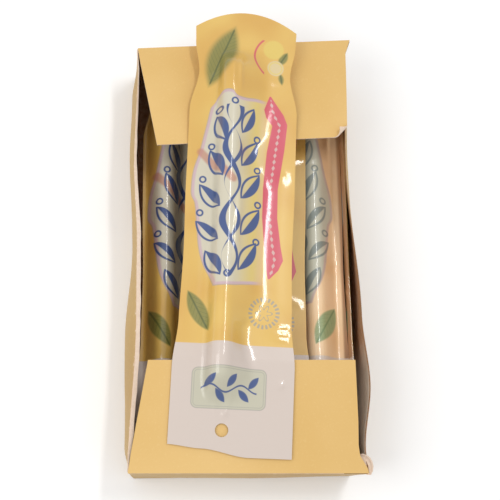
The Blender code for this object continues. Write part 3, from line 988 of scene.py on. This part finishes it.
class Sachet:
    """A wrapped stick that lies flat in the carton, with its film drawn over its stick."""

    end = SACHET_LENGTH - TUCKED_HEAD

    def __init__(
        self, name, head, stick, skirts, yaw=0.0, roll=0.0, face_down=False, rows=200, columns=76,
        off_print=0.0, spread=0.0,
    ):
        x, y, height = head
        self.name = name
        self.tail = Vector((x, y - self.end))
        self.height = height
        self.stick = stick
        self.skirts = skirts
        self.yaw = yaw
        self.roll = roll
        self.face_down = face_down
        self.rows = rows
        self.columns = columns
        self.off_print = off_print
        self.spread = spread

    def underside(self, across, along):
        """The film's underside in the sachet's own section: (sideways, up, how it leans)."""
        return across * math.cos(self.roll), self.height + across * math.sin(self.roll), self.roll

    def place(self, across, along, lift):
        """Points in the carton: across the sachet, along it, and above its film's underside."""
        sideways, up, lean = self.underside(across, along)
        sideways = sideways - lift * np.sin(lean)
        x = self.tail.x + sideways * math.cos(self.yaw) - along * math.sin(self.yaw)
        y = self.tail.y + sideways * math.sin(self.yaw) + along * math.cos(self.yaw)
        return np.stack([x, y, up + lift * np.cos(lean)], -1)

    def tail_end(self, across):
        """How far up the sachet its tail is cut, at places across it."""
        return 0 * across

    def grid(self):
        """Places across and along the sachet, one row of columns for each station."""
        station = np.linspace(0, self.end, self.rows)[:, None]
        share = np.linspace(-1, 1, self.columns)[None, :]
        width = eased(HALF_WIDTHS, station)
        across = share * width + self.spread * np.maximum(share, 0) ** 2
        back = np.maximum(0, station - HEAD_ARC_START) / (SACHET_LENGTH - HEAD_ARC_START)
        cut = self.tail_end(across) * np.maximum(0, 1 - station / PLAIN_TAIL)
        along = station - HEAD_ARC_RISE * share**2 * back + cut
        return across, along, share, np.broadcast_to(station, along.shape), width

    def drawn_height(self, across, station, width):
        """The height of the film where it is drawn over the stick, before folds."""
        room = width - SEAL_WIDTH
        left = np.minimum(self.skirts[0], room + self.stick)
        right = np.minimum(self.skirts[1], room - self.stick)
        return taut_height(across - self.stick, left, right)

    def folds(self, across, along):
        """The film's soft folds: seeded puckers that run in from the seals."""
        rng = np.random.default_rng(sum(map(ord, self.name)))
        heights = np.zeros(across.shape)
        for _ in range(PUCKERS):
            side = rng.choice((-1, 1))
            where = rng.uniform(20, 205)
            reach = rng.uniform(7, 16)
            path = ((side * 25.0, where), (side * (25.0 - reach), where + rng.uniform(-9, 9)))
            heights += fold_height(across, along, path, rng.uniform(0.15, 0.4), rng.uniform(0.9, 1.8))
        return heights

    def make_films(self, upper_material, lower_material):
        """The two films as (object, side): the upper one over the stick, then the lower one."""
        across, along, share, station, width = self.grid()
        past = np.maximum(np.maximum(STICK_FOOT - station, station - STICK_HEAD), 0) / END_RAMP
        height = self.drawn_height(across, station, width) * (1 - ease(past))
        edge = ease((1 - np.abs(share)) / SEAL_REACH)
        ends = ease(station / END_REACH) * ease((self.end - station) / END_REACH)
        height = soften(height, 2) + self.folds(across, along) * edge * ends
        seal = (FILM + GAP - SEAL_LIFT) * (1 - edge * ends)
        sides = ("back", "face") if self.face_down else ("face", "back")
        mirror = -1 if self.face_down else 1
        uv = np.stack([mirror * (across + self.off_print) / MM, along / MM], -1)
        films = []
        for side, lifts, material in (
            (sides[0], FILM + GAP + height, upper_material),
            (sides[1], seal, lower_material),
        ):
            points = self.place(across, along, lifts)
            obj = sheet_object(f"{self.name}_{side}_film", points, (material,), uv)
            thicken(obj, SKIN)
            films.append((obj, side))
        return films

    def dress_films(self, films):
        for obj, side in films:
            dress(settle(obj, 60), f"film_{side}", f"{self.name}_sachet_{side}")


class FrontSachet(Sachet):
    """The sachet that lies across both flaps, whole to the end of its head."""

    end = SACHET_LENGTH

    def __init__(self, name, stick, skirts):
        super().__init__(name, (0, 0, FRONT_BEND_HEIGHT), stick, skirts, FRONT_YAW, rows=330, columns=118)
        self.tail = Vector(FRONT_TAIL)

    def underside(self, across, along):
        past = along - FRONT_BEND_ALONG
        slope = np.where(past > 0, FRONT_SLOPE, FRONT_TAIL_SLOPE)
        return across, self.height + past * slope, 0.0 * across

    def tail_end(self, across):
        return eased(FRONT_TAIL_END, across)

    def drawn_height(self, across, station, width):
        toe = eased(FRONT_TOE, station / MM) * MM
        toe_round = eased(FRONT_TOE_ROUND, station / MM) * MM
        height = taut_height(across - self.stick, self.skirts[0], toe, FRONT_LEFT_ROUND, toe_round)
        return height * ease((1 - np.abs(across) / width) / FRONT_EDGE_REACH)

    def folds(self, across, along):
        heights = np.zeros(across.shape)
        for path, height, width in FRONT_FOLDS:
            heights += fold_height(across, along, path, height, width)
        return heights


class CurledSachet(Sachet):
    """A sachet whose right side stands up along the carton's wall."""

    def underside(self, across, along):
        reach = CURL_START_X - self.tail.x
        past = np.maximum(0.0, across - reach)
        turn = np.minimum(past / CURL_RADIUS, math.pi / 2)
        rise = np.maximum(0.0, past - CURL_RADIUS * math.pi / 2)
        sideways = np.minimum(across, reach) + CURL_RADIUS * np.sin(turn)
        return sideways, self.height + CURL_RADIUS * (1 - np.cos(turn)) + rise, turn


def make_sachets(face, back):
    floor = CARD + GAP
    low = {"rows": 130, "columns": 50}
    sachets = (
        FrontSachet("front", stick=-0.0062, skirts=(0.0065, 0.022)),
        Sachet(
            "top", (0.0010, 0.1040, 0.0290), stick=-0.004, skirts=(0.012, 0.016), yaw=math.radians(-1.5)
        ),
        Sachet("middle", (-0.0014, 0.1035, 0.0178), stick=0.002, skirts=(0.014, 0.014), **low),
        Sachet(
            "left", (-0.0246, 0.1025, 0.0131), stick=-0.0154, skirts=(0.009, 0.009), roll=math.radians(-3)
        ),
        Sachet("lower_left", (-0.0245, 0.1030, floor), stick=-0.0055, skirts=(0.012, 0.014), **low),
        Sachet(
            "right", (0.0228, 0.1035, 0.0163), stick=0.0137, skirts=(0.0085, 0.010),
            roll=math.radians(6), face_down=True, spread=0.0024,
        ),
        CurledSachet(
            "lower_right", (0.0506, 0.1030, floor), stick=-0.0176, skirts=(0.0065, 0.010),
            face_down=True, off_print=0.0045,
        ),
    )
    for sachet in sachets:
        materials = (back, face) if sachet.face_down else (face, back)
        films = sachet.make_films(*materials)
        if sachet.name == "front":
            punch(sachet, films)
        sachet.dress_films(films)


def punch(sachet, films):
    """The round hang hole, cut through both films."""
    centre = sachet.place(np.array(HANG_HOLE_ACROSS), np.array(HANG_HOLE_ALONG), 0.0)
    turns = np.linspace(0, 2 * math.pi, HANG_HOLE_SIDES, endpoint=False)
    ring = np.stack([np.cos(turns), np.sin(turns)], -1) * HANG_HOLE_RADIUS + centre[:2]
    heights = (centre[2] - HANG_HOLE_DEPTH, centre[2] + HANG_HOLE_DEPTH)
    rows = [np.column_stack([ring, np.full(HANG_HOLE_SIDES, height)]) for height in heights]
    cutter = sheet_object("hole_cutter", np.array(rows), (), closed=True, caps=(0, 1))
    for obj, _ in films:
        cut = obj.modifiers.new("Hang hole", "BOOLEAN")
        cut.operation = "DIFFERENCE"
        cut.solver = "EXACT"
        cut.object = cutter
    for obj, _ in films:
        settle(obj, 60)
    bpy.data.objects.remove(cutter)


def make_rim_lip(edge):
    """The narrow bare lip that stands in from the left wall's rim, where the lid was torn away."""
    left_wall = carton_walls()[3]
    rows = []
    for i in range(LIP_SEGMENTS + 1):
        share = 0.01 + 0.98 * i / LIP_SEGMENTS
        point = wall_point(left_wall, share, 1.0)
        ragged = noise.noise(Vector((point.y * 160, 0.5, 2.0))) * 0.00022
        width = (LIP_WIDTH + LIP_GROWTH * ease(share * 1.6) + ragged) * min(1, 12 * (1 - share), 12 * share)
        row = []
        for step in range(LIP_STEPS + 1):
            x = point.x + CARD * 0.4 + width * step / LIP_STEPS
            row.append((x, point.y, point.z + 0.0001 - 0.0001 * step))
        rows.append(row)
    obj = sheet_object("left_rim_lip", np.array(rows), (edge,))
    thicken(obj, CARD * 0.5)
    dress(settle(obj), "card")


def make_corner_curl(edge):
    """A torn tab at the near right corner, curled up so that its bare side shows."""
    outline_y, outline_x = zip(*CURL_OUTLINE)
    side_x, side_y = zip(*LOWER_RIGHT)
    rows = []
    for y in np.linspace(outline_y[0], outline_y[-1], 41):
        inner = float(np.interp(y, side_y, side_x)) - 0.0010
        reach = float(np.interp(y, outline_y, outline_x)) - inner
        row = []
        for turn in np.linspace(0, CURL_TURN, 15):
            ragged = noise.noise(Vector((0, y * 900, turn))) * 0.00008
            height = HEIGHT - 0.0002 + CURL_RISE * (1 - math.cos(turn))
            row.append((inner + reach * math.sin(turn) + ragged, y, height))
        rows.append(row)
    obj = sheet_object("near_corner_curl", np.array(rows), (edge,))
    thicken(obj, -CARD * 0.4)
    dress(settle(obj), "card")


def make_camera():
    """The photo's viewpoint: above the near end, a little to the left."""
    data = bpy.data.cameras.new("camera")
    camera = bpy.data.objects.new("camera", data)
    bpy.context.scene.collection.objects.link(camera)
    placed = Matrix.Translation(CAMERA_PLACE)
    for degrees, axis in zip(CAMERA_TURNS, "XYZ"):
        placed = placed @ Matrix.Rotation(math.radians(degrees), 4, axis)
    camera.matrix_world = placed
    data.sensor_width = 36
    data.lens = CAMERA_LENS
    data.clip_start = 0.01
    bpy.context.scene.camera = camera


def area_light(name, place, target, size, power):
    """An oblong light that faces a point, its longer side along the carton."""
    data = bpy.data.lights.new(name, "AREA")
    data.shape = "RECTANGLE"
    data.size, data.size_y = size
    data.energy = power
    light = bpy.data.objects.new(name, data)
    light.location = place
    light.rotation_euler = (Vector(target) - Vector(place)).to_track_quat("-Z", "Y").to_euler()
    bpy.context.scene.collection.objects.link(light)


def make_stage():
    """White surroundings, two lights and a pale floor just below the carton."""
    world = bpy.data.worlds.new("studio")
    world.use_nodes = True
    background = world.node_tree.nodes["Background"]
    background.inputs["Color"].default_value = (1, 1, 1, 1)
    background.inputs["Strength"].default_value = WORLD_STRENGTH
    bpy.context.scene.world = world
    bpy.context.scene.view_settings.view_transform = "Standard"

    for light in LIGHTS:
        area_light(*light)

    floor = Shader("floor")
    grain = floor.noise(floor.place(), 30.0, 2.0)
    floor.finish(floor.mix(grain, (0.93, 0.93, 0.93), (0.96, 0.96, 0.96)), 0.9, Specular_IOR_Level=0.1)
    points = np.array([[(-2, -2, -0.0002), (2, -2, -0.0002)], [(-2, 2, -0.0002), (2, 2, -0.0002)]], float)
    obj = sheet_object("floor", points, (floor.material,))


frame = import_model()
make_camera()
make_stage()

card = card_material("printed_card", CARD_YELLOW, CARD_ORANGE, 0.0)
# The walls get a darker copy of the printed card, as painted shade
shaded_wall_card = card_material("printed_wall_card_shaded", SHADED_WALL_YELLOW, SHADED_WALL_ORANGE, 0.8)
board = board_material()
edge = edge_material("cut_edge", CUT_EDGE, CUT_EDGE_DEEP)
# Cut edge painted brown as shade, for the right wall
shaded_edge = edge_material("shaded_edge", SHADED_EDGE, SHADED_EDGE_DEEP)
face = film_material("printed_film", face_colour)
back = film_material("film_reverse", reverse_colour)
bark = bark_material()

make_tray(shaded_wall_card, board, edge, shaded_edge)
make_flap(
    "upper_flap", UPPER_LEFT, UPPER_RIGHT, UPPER_RISE, UPPER_CROWN, (card, edge, edge), CORNER_ROLL
)
make_flap("lower_flap", LOWER_LEFT, LOWER_RIGHT, LOWER_RISE, 0, (card, board, edge))
make_rim_lip(edge)
make_corner_curl(edge)
make_sachets(face, back)

for name, node in frame["nodes"].items():
    if name.endswith("_stick"):
        node.data.materials.clear()
        node.data.materials.append(bark)
